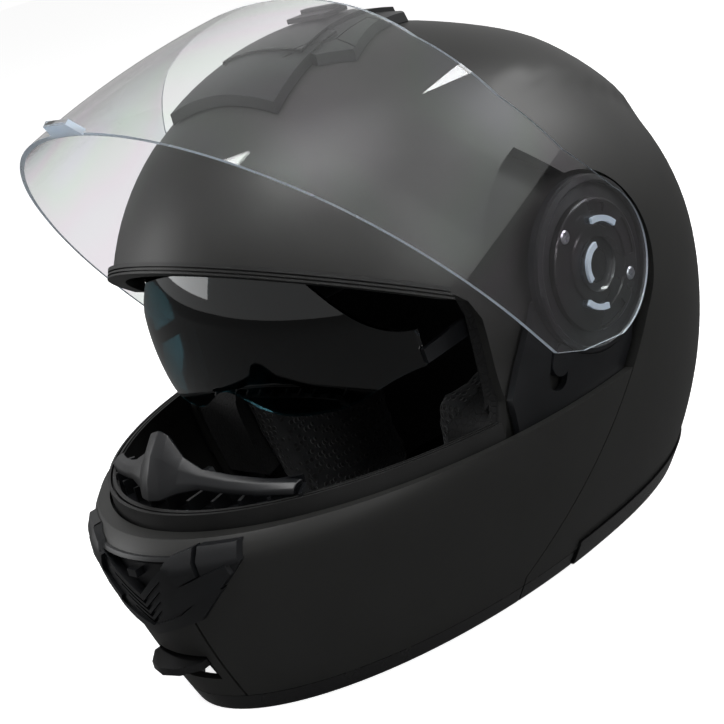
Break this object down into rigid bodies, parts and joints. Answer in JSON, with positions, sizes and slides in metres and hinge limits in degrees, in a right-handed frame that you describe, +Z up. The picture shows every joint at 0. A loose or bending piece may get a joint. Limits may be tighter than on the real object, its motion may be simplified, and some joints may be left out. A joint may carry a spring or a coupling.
{
  "type": "motorcycle helmet",
  "caption": "Flip-up motorcycle helmet with a raised clear visor, a drop-down sun visor, sliding vents, padded lining and a ratchet chin strap",
  "frame": {"origin": "centre of the underside of the bounding box; the helmet stands on its rim", "axes": "+Z up, the front faces -Y, +X is the wearer's left"},
  "size_m": [0.2552, 0.3478, 0.2844],
  "materials": {
    "shell_paint": "matte black paint over a moulded composite shell",
    "black_plastic": "fine-grained black plastic",
    "trim_plastic": "semi-gloss black trim",
    "seal_rubber": "soft black rubber",
    "impact_foam": "black expanded foam",
    "liner_fabric": "black knitted lining",
    "webbing": "black woven webbing",
    "clear_sheet": "clear moulded polycarbonate",
    "smoke_sheet": "smoke-tinted polycarbonate",
    "steel": "zinc-plated steel"
  },
  "bodies": {
    "shell": {"outer_shell": "shell_paint", "impact_liner": "impact_foam", "crown_liner": "liner_fabric", "cheek_pad_left": "liner_fabric", "cheek_pad_right": "liner_fabric", "neck_roll": "trim_plastic", "edge_trim_left": "trim_plastic", "edge_trim_right": "trim_plastic", "brow_seal": "seal_rubber", "top_vent_housing": "black_plastic", "rear_vent_cover": "black_plastic", "pivot_pin_left": "steel", "pivot_pin_right": "steel", "sun_visor_pin_left": "steel", "sun_visor_pin_right": "steel", "latch_striker_left": "steel", "latch_striker_right": "steel", "chin_strap_left": "webbing", "chin_strap_right": "webbing", "strap_rivet_left": "steel", "strap_rivet_right": "steel", "buckle_body": "black_plastic", "ratchet_tongue": "black_plastic"},
    "chin_bar": {"chin_bar_shell": "shell_paint", "chin_edge_trim": "trim_plastic", "chin_foam": "impact_foam", "eyeport_gasket": "seal_rubber", "breath_deflector": "black_plastic", "chin_vent_frame": "black_plastic", "hinge_arm_left": "black_plastic", "hinge_arm_right": "black_plastic", "visor_mechanism_left": "black_plastic", "visor_mechanism_right": "black_plastic", "visor_screw_front_left": "steel", "visor_screw_front_right": "steel", "visor_screw_rear_left": "steel", "visor_screw_rear_right": "steel", "latch_hook_left": "steel", "latch_hook_right": "steel", "hook_pin_left": "steel", "hook_pin_right": "steel"},
    "visor": {"clear_visor": "clear_sheet"},
    "sun_visor_set": {"sun_visor": "smoke_sheet", "sun_visor_arm_left": "black_plastic", "sun_visor_arm_right": "black_plastic"},
    "sun_lever": {"sun_visor_lever": "black_plastic"},
    "top_switch": {"top_vent_switch": "black_plastic"},
    "vent_shutter": {"chin_vent_shutter": "black_plastic"},
    "release_tab": {"chin_release_tab": "black_plastic"},
    "lock_slider": {"chin_lock_slider": "black_plastic"},
    "strap_lever": {"buckle_lever": "steel"}
  },
  "joints": [
    {"name": "chin_bar_hinge", "type": "hinge", "parent": "shell", "child": "chin_bar", "pos_m": [0, 0.02208, 0.145], "axis": [-1, 0, 0], "range_deg": [0, 75]},
    {"name": "visor_hinge", "type": "hinge", "parent": "chin_bar", "child": "visor", "pos_m": [0, 0.02208, 0.145], "axis": [-1, 0, 0], "range_deg": [-51.6, 4]},
    {"name": "sun_visor_hinge", "type": "hinge", "parent": "shell", "child": "sun_visor_set", "pos_m": [0, 0.02208, 0.145], "axis": [-1, 0, 0], "range_deg": [0, 15]},
    {"name": "sun_lever_slide", "type": "slide", "parent": "shell", "child": "sun_lever", "axis": [0, 1, 0], "range_m": [0, 0.012]},
    {"name": "top_vent_slide", "type": "slide", "parent": "shell", "child": "top_switch", "axis": [0, 1, 0], "range_m": [-0.006, 0.006]},
    {"name": "chin_vent_slide", "type": "slide", "parent": "chin_bar", "child": "vent_shutter", "axis": [0, 0.0995, -0.995], "range_m": [0, 0.004]},
    {"name": "release_tab_pull", "type": "slide", "parent": "chin_bar", "child": "release_tab", "axis": [0, 0.3, -0.9539], "range_m": [0, 0.004], "stiffness_N_per_m": 300, "springref_m": -0.002},
    {"name": "lock_slide", "type": "slide", "parent": "chin_bar", "child": "lock_slider", "axis": [0, -0.3998, -0.9166], "range_m": [0, 0.006]},
    {"name": "strap_lever_hinge", "type": "hinge", "parent": "shell", "child": "strap_lever", "pos_m": [-0.0135, -0.034, 0.0101], "axis": [0, -1, 0], "range_deg": [0, 60], "stiffness_Nm_per_rad": 0.02, "springref_deg": -11.46}
  ],
  "couplings": [
    {"joint": "sun_lever_slide", "follows": "sun_visor_hinge", "m_per_rad": 0.04579}
  ]
}
